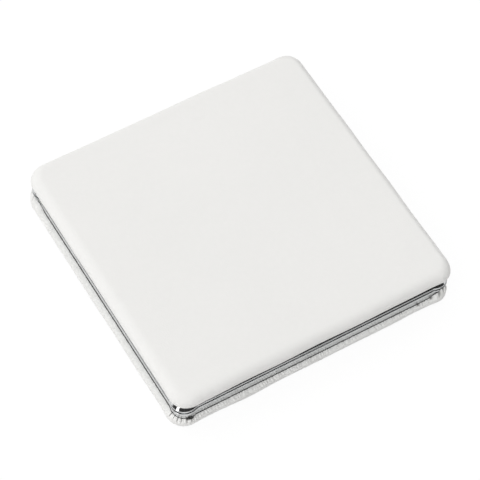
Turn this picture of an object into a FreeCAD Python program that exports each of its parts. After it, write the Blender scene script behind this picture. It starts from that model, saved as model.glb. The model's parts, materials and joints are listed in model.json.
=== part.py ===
import FreeCAD, Part
import math
import os
import Sketcher

# Square folding compact mirror: two leather-covered pads on two chromed steel trays, each tray
# holding a mirror, hinged along the back edge. Millimetres, +Z up, closed, origin at the middle
# of the resting face, front edge towards -Y. Each half is modelled with its outer face at z = 0;
# the lid's pieces are then turned over about Y and lifted by the closed thickness.

# Driving sizes
SIZES = {
    # Leather-covered pads
    "pad_side": 65.0,
    "pad_corner_radius": 4.2,
    "pad_edge_radius": 1.6,
    "pad_back_radius": 0.5,
    "leather_thick": 0.4,
    "foam_thick": 0.8,
    "foam_wrap": 0.4,
    "board_thick": 0.7,
    "hem_width": 6.0,
    "hem_corner_radius": 1.0,
    "pad_tape_clear": 0.2,
    # Chromed steel trays
    "pad_overhang": 0.9,
    "tray_height": 2.5,
    "steel_thick": 0.35,
    "base_wall_inset": 0.15,
    "lid_wall_inset": 1.65,
    "tray_corner_radius": 2.8,
    "tray_corner_flare": 0.33,
    "tray_corner_blend": 2.0,
    "tray_floor_radius": 0.4,
    "rim_height": 0.3,
    "rim_proud": 0.15,
    "rim_radius": 0.12,
    "parting_gap": 0.6,
    # Mirrors
    "mirror_thick": 1.2,
    "mirror_corner_radius": 1.5,
    "mirror_bevel": 0.25,
    "mirror_clear": 0.3,
    "mirror_tape_margin": 2.5,
    "magnifier_thick": 0.9,
    "magnifier_curve_radius": 1000.0,
    # Hinge
    "hinge_width": 24.0,
    "middle_knuckle_width": 9.4,
    "knuckle_gap": 0.15,
    "leaf_thick": 0.42,
    "leaf_lift": 0.2,
    "hinge_clear": 0.25,
    "open_gap": 0.3,
    "pin_clear": 0.03,
    "pin_head_thick": 0.35,
    "pin_head_lip": 0.12,
    # Snap catch
    "catch_width": 8.0,
    "catch_thick": 0.3,
    "catch_reach": 1.5,
    "catch_corner_radius": 0.8,
    "tongue_clear": 0.12,
    "tongue_root_gap": 0.3,
    "window_width": 3.4,
    "window_height": 0.6,
    "bump_width": 3.0,
    "bump_height": 0.14,
    "bump_clear": 0.06,
    "spring_thick": 0.25,
    "spring_foot": 2.8,
    "spring_headroom": 0.35,
    "foot_clear": 0.05,
    # Shares that keep each round within the wall it rounds
    "pad_edge_share": 0.95,
    "floor_round_share": 0.2,
    "rim_round_share": 0.9,
}

# Sizes that follow from the driving ones
DERIVED = {
    # Pad, from its outer face at z = 0 to its back
    "pad_half": "dims.pad_side / 2",
    "pad_thick": "2 * dims.leather_thick + dims.foam_thick + dims.board_thick",
    "pad_edge": "min(dims.pad_edge_radius; dims.pad_edge_share * (pad_thick - dims.pad_back_radius))",
    "core_half": "pad_half - dims.leather_thick",
    "core_corner_radius": "dims.pad_corner_radius - dims.leather_thick",
    "core_edge": "pad_edge - dims.leather_thick",
    "core_thick": "dims.foam_thick + dims.board_thick",
    "core_back": "pad_thick - dims.leather_thick",
    "board_half": "core_half - dims.foam_wrap",
    "board_corner_radius": "core_corner_radius - dims.foam_wrap",
    "board_front": "core_back - dims.board_thick",
    "hem_half": "pad_half - dims.hem_width",
    "pad_tape_half": "hem_half - dims.pad_tape_clear",
    # Tray, standing on the pad's back and open towards the other half
    "tray_half": "pad_half - dims.pad_overhang",
    "tray_floor": "pad_thick + dims.steel_thick",
    "tray_top": "pad_thick + dims.tray_height",
    "corner_centre": "tray_half + dims.tray_corner_flare - dims.tray_corner_radius",
    "inner_half": "tray_half - dims.steel_thick",
    "inner_corner_radius": "dims.tray_corner_radius - dims.steel_thick",
    "inner_blend": "dims.tray_corner_blend + dims.steel_thick",
    "inner_floor_least": "dims.floor_round_share * dims.tray_floor_radius",
    "inner_floor_radius": "max(dims.tray_floor_radius - dims.steel_thick; inner_floor_least)",
    "rim_half": "tray_half + dims.rim_proud",
    "rim_corner_radius": "dims.tray_corner_radius + dims.rim_proud",
    "rim_blend": "dims.tray_corner_blend - dims.rim_proud",
    "rim_low": "tray_top - dims.rim_height",
    "wall_rise": "rim_low - pad_thick",
    "inner_rise": "rim_low - tray_floor",
    "rim_round": "min(dims.rim_radius; dims.rim_round_share * dims.rim_proud)",
    "parting": "tray_top + dims.parting_gap / 2",
    "closed_thick": "2 * parting",
    # Snap catch inside the front wall, from the lid's tongue back to the base's spring
    "tongue_root": "tray_floor + dims.tongue_root_gap",
    "root_out": "dims.lid_wall_inset * (rim_low - tongue_root) / inner_rise - inner_half",
    "root_in": "root_out + dims.catch_thick",
    "blade_out": "dims.tongue_clear - inner_half",
    "blade_in": "blade_out + dims.catch_thick",
    "tongue_bend": "rim_low - dims.tongue_clear * inner_rise / dims.lid_wall_inset",
    "tongue_tip": "parting + dims.catch_reach",
    "window_low": "parting + dims.catch_reach / 2 - dims.window_height / 2",
    "window_high": "window_low + dims.window_height",
    "window_half": "dims.window_width / 2",
    "window_left": "-window_half",
    "catch_half": "dims.catch_width / 2",
    "spring_out": "blade_in + dims.bump_clear + dims.bump_height",
    "spring_in": "spring_out + dims.spring_thick",
    "foot_end": "spring_out + dims.spring_foot",
    "foot_top": "tray_floor + dims.spring_thick",
    "spring_top": "parting - dims.spring_headroom",
    "bump_level": "parting - dims.catch_reach / 2",
    # Mirrors, clear of the catch and lifted over the spring's foot
    "mirror_tape_thick": "dims.spring_thick + dims.foot_clear",
    "mirror_tape_half": "-foot_end - dims.mirror_tape_margin",
    "mirror_seat": "tray_floor + mirror_tape_thick",
    "mirror_face": "mirror_seat + dims.mirror_thick",
    "base_mirror_half": "-spring_in - dims.mirror_clear",
    "lid_seat_half": "inner_half - dims.lid_wall_inset * (rim_low - mirror_seat) / inner_rise",
    "lid_mirror_half": "lid_seat_half - dims.catch_thick - dims.mirror_clear",
    "magnifier_blank": "dims.magnifier_thick + 2 * base_mirror_half ^ 2 / dims.magnifier_curve_radius",
    "magnifier_centre": "mirror_seat + dims.magnifier_thick + dims.magnifier_curve_radius",
    # Hinge, its axis just outside the pads so that the halves open flat
    "knuckle_radius": "dims.pad_overhang + dims.open_gap / 2",
    "pin_hole_radius": "knuckle_radius - dims.leaf_thick",
    "pin_radius": "pin_hole_radius - dims.pin_clear",
    "pin_head_radius": "pin_radius + dims.pin_head_lip",
    "hinge_y": "tray_half + knuckle_radius",
    "leaf_low": "pad_thick + dims.leaf_lift",
    "notch_low": "parting - knuckle_radius - dims.hinge_clear",
    "notch_high": "parting + knuckle_radius + dims.hinge_clear",
    "notch_half": "hinge_half + dims.pin_head_thick + dims.hinge_clear",
    "notch_left": "-notch_half",
    "hinge_half": "dims.hinge_width / 2",
    "hinge_left": "-hinge_half",
    "hinge_end": "hinge_half + dims.knuckle_gap",
    "hinge_far_left": "-hinge_end",
    "middle_half": "dims.middle_knuckle_width / 2",
    "middle_left": "-middle_half",
    "middle_end": "middle_half + dims.knuckle_gap",
    "middle_far_left": "-middle_end",
    "pin_end": "hinge_half + dims.pin_head_thick",
    "pin_far_left": "-pin_end",
}

# Each tray's wall leans in from the rim to the floor, and its hinge leaf follows it
for half in ("base", "lid"):
    lean = f"dims.{half}_wall_inset"
    DERIVED |= {
        f"{half}_foot_half": f"tray_half - {lean}",
        f"{half}_foot_radius": f"dims.tray_corner_radius - {lean}",
        f"{half}_foot_blend": f"dims.tray_corner_blend + {lean}",
        f"{half}_well_half": f"inner_half - {lean}",
        f"{half}_well_radius": f"inner_corner_radius - {lean}",
        f"{half}_well_blend": f"inner_blend + {lean}",
        f"{half}_leaf_in": f"tray_half - {lean} * (rim_low - leaf_low) / wall_rise",
        f"{half}_leaf_out": f"{half}_leaf_in + dims.leaf_thick",
    }

# Geometry is found by its height to this tolerance
LEVEL = 1e-4

doc = FreeCAD.newDocument("compact_mirror")
sheet = doc.addObject("Spreadsheet::Sheet", "dims")
for row, (alias, value) in enumerate(SIZES.items(), start=1):
    sheet.set(f"A{row}", alias)
    sheet.set(f"B{row}", str(value))
    sheet.setAlias(f"B{row}", alias)
doc.recompute()

derived = doc.addObject("App::VarSet", "derived")
for name in DERIVED:
    derived.addProperty("App::PropertyFloat", name, "Derived", "")
for name, expression in DERIVED.items():
    derived.setExpression(name, expression)
doc.recompute()


def number(reference):
    """Value of a driving or derived size, named as object.size."""
    owner, name = reference.split(".")
    return getattr(doc.getObject(owner), name)


def new_body(label):
    body = doc.addObject("PartDesign::Body", label)
    body.Label = label
    return body


def new_sketch(body, name, plane="XY_Plane", lift=None):
    """Sketch on one of the body's own planes, lifted along that plane's normal."""
    sketch = body.newObject("Sketcher::SketchObject", f"{body.Name}_{name}")
    origin_plane = [item for item in body.Origin.OriginFeatures if item.Role == plane]
    sketch.AttachmentSupport = [(origin_plane[0], "")]
    sketch.MapMode = "FlatFace"
    if lift:
        sketch.setExpression("AttachmentOffset.Base.z", lift)
    return sketch


def bind(sketch, name, reference, kind, *where, times=1):
    """Add a named dimension to the sketch and tie it to a size, or to a multiple of it."""
    index = sketch.addConstraint(Sketcher.Constraint(kind, *where, times * number(reference)))
    sketch.renameConstraint(index, name)
    sketch.setExpression(f"Constraints.{name}", f"{times} * {reference}")


def polygon(sketch, corners, tag="corner"):
    """Closed outline through corners, each placed by two sizes; "0" puts it on the axis."""
    points = [[0.0 if place == "0" else number(place) for place in corner] for corner in corners]
    first = sketch.GeometryCount
    count = len(points)
    for index in range(count):
        start = FreeCAD.Vector(*points[index], 0)
        end = FreeCAD.Vector(*points[(index + 1) % count], 0)
        sketch.addGeometry(Part.LineSegment(start, end))
    for index in range(count):
        after = first + (index + 1) % count
        sketch.addConstraint(Sketcher.Constraint("Coincident", first + index, 2, after, 1))
    for index, (across, up) in enumerate(corners):
        line = first + index
        if across == "0":
            sketch.addConstraint(Sketcher.Constraint("PointOnObject", line, 1, -2))
        else:
            bind(sketch, f"{tag}{index}_across", across, "DistanceX", -1, 1, line, 1)
        if up == "0":
            sketch.addConstraint(Sketcher.Constraint("PointOnObject", line, 1, -1))
        else:
            bind(sketch, f"{tag}{index}_up", up, "DistanceY", -1, 1, line, 1)


def rectangle(sketch, left, right, low, high, tag="corner"):
    polygon(sketch, [(left, low), (right, low), (right, high), (left, high)], tag)


def join_smoothly(sketch, one, one_end, two, two_end):
    sketch.addConstraint(Sketcher.Constraint("Tangent", one, one_end, two, two_end))


def hold_lines_square(sketch, lines):
    """Lines in turn round the outline, starting with the front one, lie along X and Y."""
    for index, line in enumerate(lines):
        sketch.addConstraint(Sketcher.Constraint("Vertical" if index % 2 else "Horizontal", line))


def mirror_centres(sketch, arcs):
    """Corner arcs in turn round the outline sit symmetrically about both axes."""
    for index, axis in enumerate((-1, -2, -1)):
        one, two = arcs[index], arcs[index + 1]
        sketch.addConstraint(Sketcher.Constraint("Symmetric", one, 3, two, 3, axis))


def rounded_square(sketch, half, radius):
    """Square about the origin with rounded corners."""
    reach = number(half)
    bend = number(radius)
    centre = reach - bend
    lines = []
    arcs = []
    for quarter in range(4):
        turn = FreeCAD.Rotation(FreeCAD.Vector(0, 0, 1), 90 * quarter)
        start = turn.multVec(FreeCAD.Vector(-centre, -reach, 0))
        end = turn.multVec(FreeCAD.Vector(centre, -reach, 0))
        lines.append(sketch.addGeometry(Part.LineSegment(start, end)))
        circle = Part.Circle(turn.multVec(FreeCAD.Vector(centre, -centre, 0)), FreeCAD.Vector(0, 0, 1), bend)
        angle = math.radians(90 * quarter - 90)
        arcs.append(sketch.addGeometry(Part.ArcOfCircle(circle, angle, angle + math.pi / 2)))
    for quarter in range(4):
        join_smoothly(sketch, lines[quarter], 2, arcs[quarter], 1)
        join_smoothly(sketch, arcs[quarter], 2, lines[(quarter + 1) % 4], 1)
    for arc in arcs[1:]:
        sketch.addConstraint(Sketcher.Constraint("Equal", arcs[0], arc))
    hold_lines_square(sketch, lines)
    bind(sketch, "corner_radius", radius, "Radius", arcs[0])
    bind(sketch, "right_reach", half, "DistanceX", -1, 1, lines[1], 1)
    bind(sketch, "back_reach", half, "DistanceY", -1, 1, lines[2], 1)
    sketch.addConstraint(Sketcher.Constraint("Symmetric", arcs[0], 3, arcs[2], 3, -1, 1))


def flared_square(sketch, half, radius, blend):
    """Drawn tray's outline: straight sides whose rounded corners stand a little proud.

    Each corner is a round, tangent to a hollow blend at both ends, which runs into the side.
    """
    reach = number(half)
    bend = number(radius)
    hollow = number(blend)
    centre = number("derived.corner_centre")
    drop = reach + hollow - centre
    run = math.sqrt((bend + hollow) ** 2 - drop ** 2)
    lean = math.atan2(drop, run)
    entries = []
    corners = []
    exits = []
    lines = []

    def arc(middle, size, start, end, quarter):
        turn = FreeCAD.Rotation(FreeCAD.Vector(0, 0, 1), 90 * quarter)
        circle = Part.Circle(turn.multVec(FreeCAD.Vector(*middle, 0)), FreeCAD.Vector(0, 0, 1), size)
        spin = math.radians(90 * quarter)
        return sketch.addGeometry(Part.ArcOfCircle(circle, start + spin, end + spin))

    for quarter in range(4):
        turn = FreeCAD.Rotation(FreeCAD.Vector(0, 0, 1), 90 * quarter)
        start = turn.multVec(FreeCAD.Vector(run - centre, -reach, 0))
        end = turn.multVec(FreeCAD.Vector(centre - run, -reach, 0))
        lines.append(sketch.addGeometry(Part.LineSegment(start, end)))
        entries.append(arc((centre - run, -reach - hollow), hollow, lean, math.pi / 2, quarter))
        corners.append(arc((centre, -centre), bend, lean - math.pi, math.pi / 2 - lean, quarter))
        exits.append(arc((reach + hollow, run - centre), hollow, math.pi, 1.5 * math.pi - lean, quarter))
    for quarter in range(4):
        join_smoothly(sketch, lines[quarter], 2, entries[quarter], 2)
        join_smoothly(sketch, entries[quarter], 1, corners[quarter], 1)
        join_smoothly(sketch, corners[quarter], 2, exits[quarter], 2)
        join_smoothly(sketch, exits[quarter], 1, lines[(quarter + 1) % 4], 1)
    for corner in corners[1:]:
        sketch.addConstraint(Sketcher.Constraint("Equal", corners[0], corner))
    for hollow_arc in entries[1:] + exits:
        sketch.addConstraint(Sketcher.Constraint("Equal", entries[0], hollow_arc))
    hold_lines_square(sketch, lines)
    mirror_centres(sketch, corners)
    bind(sketch, "corner_radius", radius, "Radius", corners[0])
    bind(sketch, "blend_radius", blend, "Radius", entries[0])
    bind(sketch, "centre_across", "derived.corner_centre", "DistanceX", -1, 1, corners[1], 3)
    bind(sketch, "centre_up", "derived.corner_centre", "DistanceY", -1, 1, corners[1], 3)
    bind(sketch, "right_reach", half, "DistanceX", -1, 1, lines[1], 1)
    bind(sketch, "back_reach", half, "DistanceY", -1, 1, lines[2], 1)
    bind(sketch, "width", half, "DistanceX", lines[3], 1, lines[1], 1, times=2)
    bind(sketch, "depth", half, "DistanceY", lines[0], 1, lines[2], 1, times=2)


def pad(body, sketch, length, symmetric=False):
    feature = body.newObject("PartDesign::Pad", f"{sketch.Name}_pad")
    feature.Profile = sketch
    if symmetric:
        feature.SideType = "Symmetric"
    feature.setExpression("Length", length)
    doc.recompute()


def pocket(body, sketch, depth=None, symmetric=False):
    """Cut the sketch out of the body, right through where no depth is given."""
    before = body.Shape.Volume
    feature = body.newObject("PartDesign::Pocket", f"{sketch.Name}_pocket")
    feature.Profile = sketch
    if symmetric:
        feature.SideType = "Symmetric"
    if depth:
        feature.setExpression("Length", depth)
    else:
        feature.Type = "ThroughAll"
    doc.recompute()
    if body.Shape.Volume > before - LEVEL:
        raise RuntimeError(f"{feature.Name} cuts nothing")


def loft(body, kind, low, high):
    """Straight-sided solid or hollow between two outlines."""
    feature = body.newObject(kind, f"{low.Name}_loft")
    feature.Profile = low
    feature.Sections = [high]
    feature.Ruled = True
    doc.recompute()


def dress(body, name, edges, size, kind, field):
    tip = body.Tip
    feature = body.newObject(kind, f"{body.Name}_{name}")
    feature.Base = (tip, edges)
    feature.setExpression(field, size)
    doc.recompute()


def fillet(body, name, edges, radius):
    dress(body, name, edges, radius, "PartDesign::Fillet", "Radius")


def chamfer(body, name, edges, width):
    dress(body, name, edges, width, "PartDesign::Chamfer", "Size")


def edges_where(body, keep):
    """Names of the body's edges that pass a test."""
    return [f"Edge{index}" for index, edge in enumerate(body.Shape.Edges, start=1) if keep(edge)]


def at_level(edge, level):
    box = edge.BoundBox
    return max(abs(box.ZMin - level), abs(box.ZMax - level)) < LEVEL


def level_edges(body, height):
    """Edges that lie in the plane at that height."""
    level = number(height)
    return edges_where(body, lambda edge: at_level(edge, level))


def boolean(kind, label, base, tool):
    feature = doc.addObject(kind, label)
    feature.Base = base
    feature.Tool = tool
    doc.recompute()
    return feature


NODES = []


def place(piece, label, side):
    """Name a finished piece and put it in its half."""
    piece.Label = label
    if side == "lid":
        turn_over = FreeCAD.Rotation(FreeCAD.Vector(0, 1, 0), 180)
        piece.Placement = FreeCAD.Placement(FreeCAD.Vector(0, 0, 0), turn_over)
        piece.setExpression("Placement.Base.z", "derived.closed_thick")
    NODES.append(piece)


def plate(label, half, radius, low, thick):
    """Flat rounded square from one height up."""
    body = new_body(label)
    sketch = new_sketch(body, "outline", lift=low)
    rounded_square(sketch, half, radius)
    pad(body, sketch, thick)
    return body


def round_outer_edge(body, radius):
    """Round the edge between the outer face and the sides."""
    face = body.Shape.BoundBox.ZMin
    fillet(body, "outer_edge", edges_where(body, lambda edge: at_level(edge, face)), radius)


def pad_skin(label):
    """Whole pad as wrapped: rounded outer edge, softer turned edge, hem open at the back."""
    body = plate(label, "derived.pad_half", "dims.pad_corner_radius", None, "derived.pad_thick")
    fillet(body, "turned_edge", level_edges(body, "derived.pad_thick"), "dims.pad_back_radius")
    round_outer_edge(body, "derived.pad_edge")
    opening = new_sketch(body, "hem_opening", lift="derived.pad_thick")
    rounded_square(opening, "derived.hem_half", "dims.hem_corner_radius")
    pocket(body, opening, "dims.leather_thick")
    return body


def pad_core(label):
    """What the leather wraps: foam and board together."""
    body = plate(label, "derived.core_half", "derived.core_corner_radius", "dims.leather_thick",
                 "derived.core_thick")
    round_outer_edge(body, "derived.core_edge")
    return body


def make_pad(side):
    skin = pad_skin(f"{side}_skin")
    core = pad_core(f"{side}_core")
    place(boolean("Part::Cut", f"{side}_leather", skin, core), f"{side}_leather", side)
    board_blank = plate(f"{side}_board_blank", "derived.board_half", "derived.board_corner_radius",
                        "derived.board_front", "dims.board_thick")
    place(boolean("Part::Cut", f"{side}_foam", core, board_blank), f"{side}_foam", side)
    board = plate(f"{side}_board", "derived.board_half", "derived.board_corner_radius",
                  "derived.board_front", "dims.board_thick")
    place(board, f"{side}_board", side)
    tape = plate(f"{side}_pad_tape", "derived.pad_tape_half", "dims.hem_corner_radius",
                 "derived.core_back", "dims.leather_thick")
    place(tape, f"{side}_pad_tape", side)


def rim_edges(body, height):
    """Edges in the plane at that height that run round the outside of the rim."""
    level = number(height)
    reach = number("derived.rim_half")
    bends = [number("derived.rim_corner_radius"), number("derived.rim_blend")]

    def on_rim(edge):
        if hasattr(edge.Curve, "Radius"):
            return min(abs(edge.Curve.Radius - bend) for bend in bends) < LEVEL
        box = edge.BoundBox
        farthest = max(abs(box.XMin), abs(box.XMax), abs(box.YMin), abs(box.YMax))
        return abs(farthest - reach) < LEVEL

    return edges_where(body, lambda edge: at_level(edge, level) and on_rim(edge))


def make_tray(side):
    """Drawn steel tray with leaning walls and a hemmed rim, notched at the back for the hinge."""
    body = new_body(f"{side}_tray")
    foot = new_sketch(body, "foot", lift="derived.pad_thick")
    flared_square(foot, f"derived.{side}_foot_half", f"derived.{side}_foot_radius",
                  f"derived.{side}_foot_blend")
    brim = new_sketch(body, "brim", lift="derived.rim_low")
    flared_square(brim, "derived.tray_half", "dims.tray_corner_radius", "dims.tray_corner_blend")
    loft(body, "PartDesign::AdditiveLoft", foot, brim)
    rim = new_sketch(body, "rim", lift="derived.rim_low")
    flared_square(rim, "derived.rim_half", "derived.rim_corner_radius", "derived.rim_blend")
    pad(body, rim, "dims.rim_height")
    well = new_sketch(body, "well", lift="derived.tray_floor")
    flared_square(well, f"derived.{side}_well_half", f"derived.{side}_well_radius",
                  f"derived.{side}_well_blend")
    neck = new_sketch(body, "neck", lift="derived.rim_low")
    flared_square(neck, "derived.inner_half", "derived.inner_corner_radius", "derived.inner_blend")
    loft(body, "PartDesign::SubtractiveLoft", well, neck)
    mouth = new_sketch(body, "mouth", lift="derived.tray_top")
    flared_square(mouth, "derived.inner_half", "derived.inner_corner_radius", "derived.inner_blend")
    pocket(body, mouth, "dims.rim_height")
    fillet(body, "floor_outside", level_edges(body, "derived.pad_thick"), "dims.tray_floor_radius")
    fillet(body, "floor_inside", level_edges(body, "derived.tray_floor"), "derived.inner_floor_radius")
    bead = rim_edges(body, "derived.rim_low") + rim_edges(body, "derived.tray_top")
    fillet(body, "rim_rounding", bead, "derived.rim_round")
    notch = new_sketch(body, "hinge_notch", plane="XZ_Plane")
    rectangle(notch, "derived.notch_left", "derived.notch_half", "derived.notch_low", "derived.notch_high")
    pocket(body, notch)
    place(body, f"{side}_tray", side)


def make_mirrors():
    """Plain mirror in the lid, magnifying one in the base, each on its mounting tape."""
    for side in ("base", "lid"):
        tape = plate(f"{side}_mirror_tape", "derived.mirror_tape_half", "dims.mirror_corner_radius",
                     "derived.tray_floor", "derived.mirror_tape_thick")
        place(tape, f"{side}_mirror_tape", side)
    plain = plate("lid_mirror", "derived.lid_mirror_half", "dims.mirror_corner_radius",
                  "derived.mirror_seat", "dims.mirror_thick")
    face_edges = level_edges(plain, "derived.mirror_face")
    chamfer(plain, "bevel", face_edges, "dims.mirror_bevel")
    place(plain, "lid_mirror", "lid")
    blank = plate("magnifier_blank", "derived.base_mirror_half", "dims.mirror_corner_radius",
                  "derived.mirror_seat", "derived.magnifier_blank")
    hollow = doc.addObject("Part::Sphere", "magnifier_hollow")
    hollow.setExpression("Radius", "dims.magnifier_curve_radius")
    hollow.setExpression("Placement.Base.z", "derived.magnifier_centre")
    place(boolean("Part::Cut", "base_mirror", blank, hollow), "base_mirror", "base")


def leaf_profile(sketch, side):
    """Strip that lies on the tray's leaning wall, stands up at the rim and curls round the pin."""
    wall = number("derived.tray_half")
    bend = number("derived.rim_low")
    low = number("derived.leaf_low")
    foot_in = number(f"derived.{side}_leaf_in")
    foot_out = number(f"derived.{side}_leaf_out")
    curl = number("derived.knuckle_radius")
    centre = FreeCAD.Vector(number("derived.hinge_y"), number("derived.parting"), 0)
    normal = FreeCAD.Vector(0, 0, 1)
    foot_corner = FreeCAD.Vector(foot_out, low, 0)
    along = FreeCAD.Vector(wall - foot_in, bend - low, 0).normalize()
    reach = (centre - foot_corner).dot(along)
    aside = (centre - foot_corner).cross(along).z
    meet = foot_corner + along * (reach - math.sqrt(curl ** 2 - aside ** 2))
    start = math.atan2(meet.y - centre.y, meet.x - centre.x)

    def straight(begin, end):
        return sketch.addGeometry(Part.LineSegment(begin, end))

    rise = straight(FreeCAD.Vector(wall, centre.y, 0), FreeCAD.Vector(wall, bend, 0))
    inner = straight(FreeCAD.Vector(wall, bend, 0), FreeCAD.Vector(foot_in, low, 0))
    foot = straight(FreeCAD.Vector(foot_in, low, 0), foot_corner)
    outer = straight(foot_corner, meet)
    knuckle = sketch.addGeometry(Part.ArcOfCircle(Part.Circle(centre, normal, curl), start, math.pi))
    bore = sketch.addGeometry(Part.Circle(centre, normal, number("derived.pin_hole_radius")))
    join_smoothly(sketch, rise, 1, knuckle, 2)
    for one, one_end, two, two_end in ((rise, 2, inner, 1), (inner, 2, foot, 1), (foot, 2, outer, 1),
                                       (outer, 2, knuckle, 1), (bore, 3, knuckle, 3)):
        sketch.addConstraint(Sketcher.Constraint("Coincident", one, one_end, two, two_end))
    sketch.addConstraint(Sketcher.Constraint("Vertical", rise))
    sketch.addConstraint(Sketcher.Constraint("Horizontal", foot))
    sketch.addConstraint(Sketcher.Constraint("Parallel", inner, outer))
    bind(sketch, "axis_across", "derived.hinge_y", "DistanceX", -1, 1, knuckle, 3)
    bind(sketch, "axis_up", "derived.parting", "DistanceY", -1, 1, knuckle, 3)
    bind(sketch, "curl_radius", "derived.knuckle_radius", "Radius", knuckle)
    bind(sketch, "bore_radius", "derived.pin_hole_radius", "Radius", bore)
    bind(sketch, "bend_up", "derived.rim_low", "DistanceY", -1, 1, inner, 1)
    bind(sketch, "foot_across", f"derived.{side}_leaf_in", "DistanceX", -1, 1, foot, 1)
    bind(sketch, "foot_far", f"derived.{side}_leaf_out", "DistanceX", -1, 1, foot, 2)
    bind(sketch, "foot_up", "derived.leaf_low", "DistanceY", -1, 1, foot, 1)


def make_hinge():
    """Base leaf with two outer knuckles, lid leaf with the middle one, and the pin."""
    gaps = {
        "base": [("derived.middle_far_left", "derived.middle_end")],
        "lid": [
            ("derived.hinge_far_left", "derived.middle_left"),
            ("derived.middle_half", "derived.hinge_end"),
        ],
    }
    for side, spans in gaps.items():
        body = new_body(f"{side}_hinge_leaf")
        profile = new_sketch(body, "profile", plane="YZ_Plane")
        leaf_profile(profile, side)
        pad(body, profile, "dims.hinge_width", symmetric=True)
        trims = new_sketch(body, "knuckle_gaps", plane="XZ_Plane")
        for index, (left, right) in enumerate(spans):
            rectangle(trims, left, right, "derived.notch_low", "derived.notch_high", f"gap{index}_")
        pocket(body, trims, symmetric=True)
        place(body, f"{side}_hinge_leaf", side)
    pin = new_body("hinge_pin")
    half_section = new_sketch(pin, "half_section")
    half_section.setExpression("AttachmentOffset.Base.y", "derived.hinge_y")
    half_section.setExpression("AttachmentOffset.Base.z", "derived.parting")
    polygon(half_section, [
        ("derived.pin_far_left", "0"),
        ("derived.pin_end", "0"),
        ("derived.pin_end", "derived.pin_head_radius"),
        ("derived.hinge_half", "derived.pin_head_radius"),
        ("derived.hinge_half", "derived.pin_radius"),
        ("derived.hinge_left", "derived.pin_radius"),
        ("derived.hinge_left", "derived.pin_head_radius"),
        ("derived.pin_far_left", "derived.pin_head_radius"),
    ])
    turned = pin.newObject("PartDesign::Revolution", "hinge_pin_turned")
    turned.Profile = half_section
    turned.ReferenceAxis = (half_section, ["H_Axis"])
    turned.Angle = 360
    doc.recompute()
    end = number("derived.pin_end")
    heads = edges_where(pin, lambda edge: abs(abs(edge.CenterOfMass.x) - end) < LEVEL)
    fillet(pin, "peened_heads", heads, "dims.pin_head_lip")
    place(pin, "hinge_pin", "base")


def make_catch():
    """Tongue welded inside the lid's front wall and the base's spring that holds it."""
    tongue = new_body("catch_tongue")
    strip = new_sketch(tongue, "strip", plane="YZ_Plane")
    polygon(strip, [
        ("derived.root_out", "derived.tongue_root"),
        ("derived.blade_out", "derived.tongue_bend"),
        ("derived.blade_out", "derived.tongue_tip"),
        ("derived.blade_in", "derived.tongue_tip"),
        ("derived.blade_in", "derived.tongue_bend"),
        ("derived.root_in", "derived.tongue_root"),
    ])
    pad(tongue, strip, "dims.catch_width", symmetric=True)
    tip = number("derived.tongue_tip")
    side = number("derived.catch_half")
    corners = edges_where(tongue, lambda edge: at_level(edge, tip)
                          and abs(abs(edge.CenterOfMass.x) - side) < LEVEL)
    fillet(tongue, "tip_corners", corners, "dims.catch_corner_radius")
    window = new_sketch(tongue, "window", plane="XZ_Plane")
    rectangle(window, "derived.window_left", "derived.window_half",
              "derived.window_low", "derived.window_high")
    pocket(tongue, window, symmetric=True)
    place(tongue, "catch_tongue", "lid")

    spring = new_body("catch_spring")
    angle = new_sketch(spring, "angle", plane="YZ_Plane")
    polygon(angle, [
        ("derived.spring_out", "derived.tray_floor"),
        ("derived.foot_end", "derived.tray_floor"),
        ("derived.foot_end", "derived.foot_top"),
        ("derived.spring_in", "derived.foot_top"),
        ("derived.spring_in", "derived.spring_top"),
        ("derived.spring_out", "derived.spring_top"),
    ])
    pad(spring, angle, "dims.catch_width", symmetric=True)
    bump = new_sketch(spring, "bump", plane="YZ_Plane")
    face = number("derived.spring_out")
    level = number("derived.bump_level")
    height = number("dims.bump_height")
    circle = Part.Circle(FreeCAD.Vector(face, level, 0), FreeCAD.Vector(0, 0, 1), height)
    crest = bump.addGeometry(Part.ArcOfCircle(circle, math.pi / 2, 1.5 * math.pi))
    chord = bump.addGeometry(Part.LineSegment(FreeCAD.Vector(face, level - height, 0),
                                              FreeCAD.Vector(face, level + height, 0)))
    bump.addConstraint(Sketcher.Constraint("Coincident", crest, 2, chord, 1))
    bump.addConstraint(Sketcher.Constraint("Coincident", crest, 1, chord, 2))
    bump.addConstraint(Sketcher.Constraint("PointOnObject", crest, 3, chord))
    bump.addConstraint(Sketcher.Constraint("Vertical", chord))
    bind(bump, "crest_across", "derived.spring_out", "DistanceX", -1, 1, crest, 3)
    bind(bump, "crest_up", "derived.bump_level", "DistanceY", -1, 1, crest, 3)
    bind(bump, "crest_radius", "dims.bump_height", "Radius", crest)
    pad(spring, bump, "dims.bump_width", symmetric=True)
    place(spring, "catch_spring", "base")


for half in ("base", "lid"):
    make_pad(half)
    make_tray(half)
make_mirrors()
make_hinge()
make_catch()
doc.recompute()

# Nothing is written unless every object and every piece is sound
for item in doc.Objects:
    if "Invalid" in item.State or "Error" in item.State:
        raise RuntimeError(f"{item.Name} failed: {item.State}")
for node in NODES:
    if node.Shape.isNull() or not node.Shape.isValid() or len(node.Shape.Solids) != 1:
        raise RuntimeError(f"{node.Label} is not one sound solid")

os.makedirs("parts", exist_ok=True)
for node in NODES:
    node.Shape.exportStep(f"parts/{node.Label}.step")
    box = node.Shape.BoundBox
    print(f"{node.Label:18s} {node.Shape.Volume:10.2f} mm3  z {box.ZMin:6.2f} to {box.ZMax:6.2f}")
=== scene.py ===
import json
import math

import bmesh
import bpy
import numpy as np
from mathutils import Matrix, Vector
from mathutils.bvhtree import BVHTree


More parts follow.
